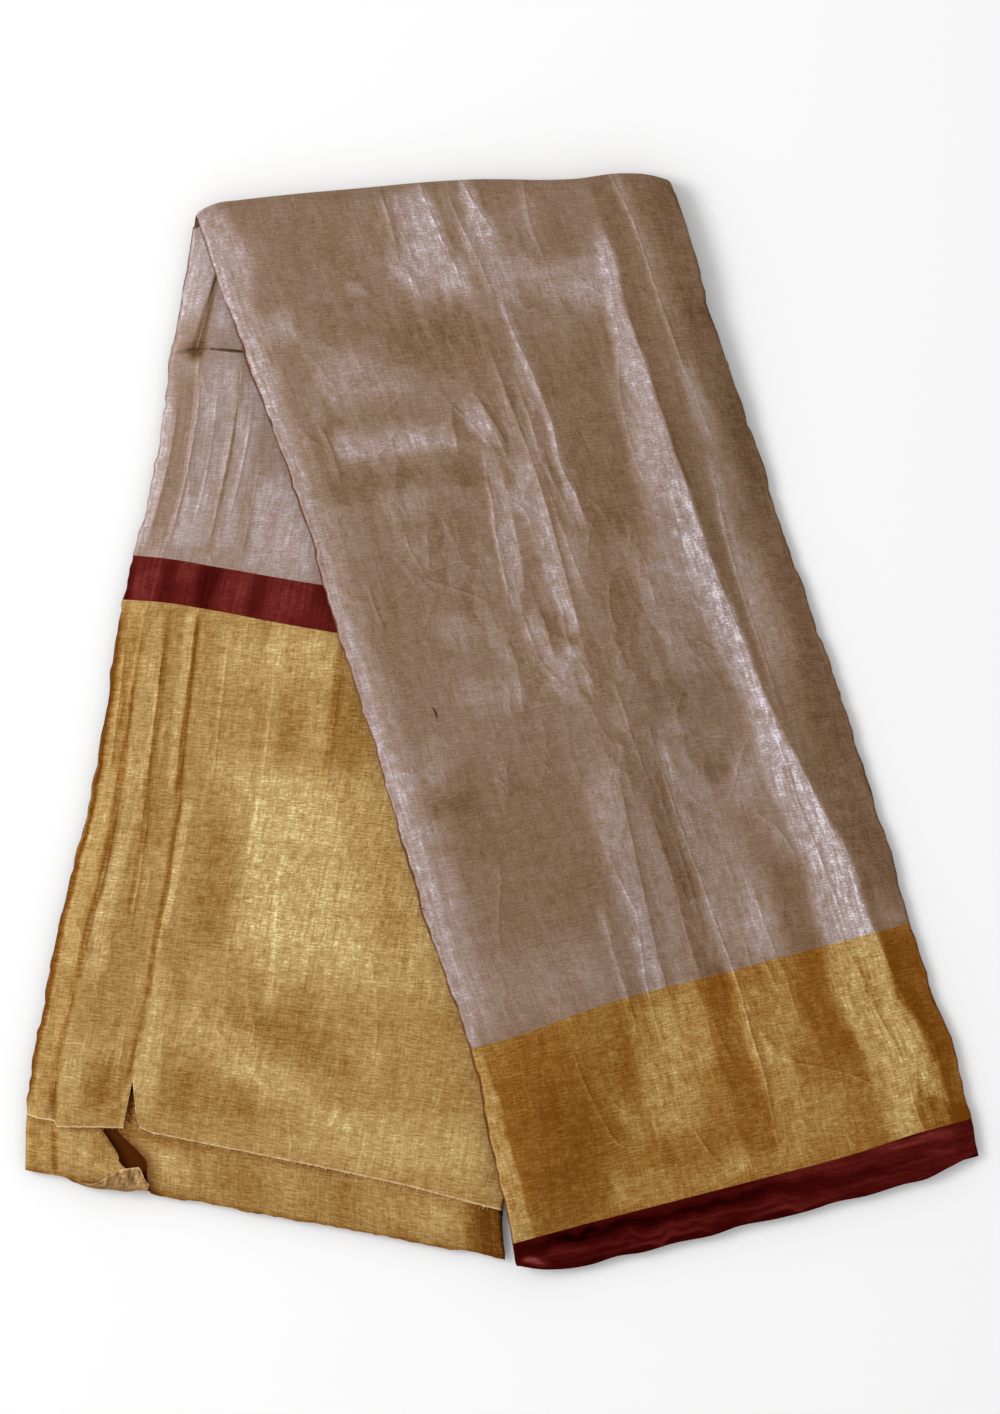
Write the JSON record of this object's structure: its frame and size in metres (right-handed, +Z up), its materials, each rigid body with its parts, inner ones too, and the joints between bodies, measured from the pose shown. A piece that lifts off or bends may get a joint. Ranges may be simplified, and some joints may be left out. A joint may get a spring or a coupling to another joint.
{
  "type": "folded saree",
  "caption": "Tissue saree pleated into a flat band and folded over into two legs, with plain gold borders and maroon edges. It lies flat on a surface.",
  "frame": {"origin": "on the surface it lies on, under the middle of the folded saree's box", "axes": "+Z up out of the surface, +Y towards the turn where the band is folded over, +X towards the front leg's open end"},
  "size_m": [0.5225, 0.6012, 0.0204],
  "materials": {
    "tissue": "mauve taupe tissue with a metallic sheen",
    "gold_tissue": "gold tissue with a metallic sheen",
    "maroon_cloth": "matte maroon weave"
  },
  "bodies": {
    "root": {"hidden_layers": "tissue", "front_body": "tissue", "front_border": "gold_tissue", "front_edge": "maroon_cloth", "back_body": "tissue", "back_stripe": "maroon_cloth", "back_border": "gold_tissue", "back_lower_end": "gold_tissue", "back_lower_corner": "gold_tissue"}
  },
  "joints": []
}
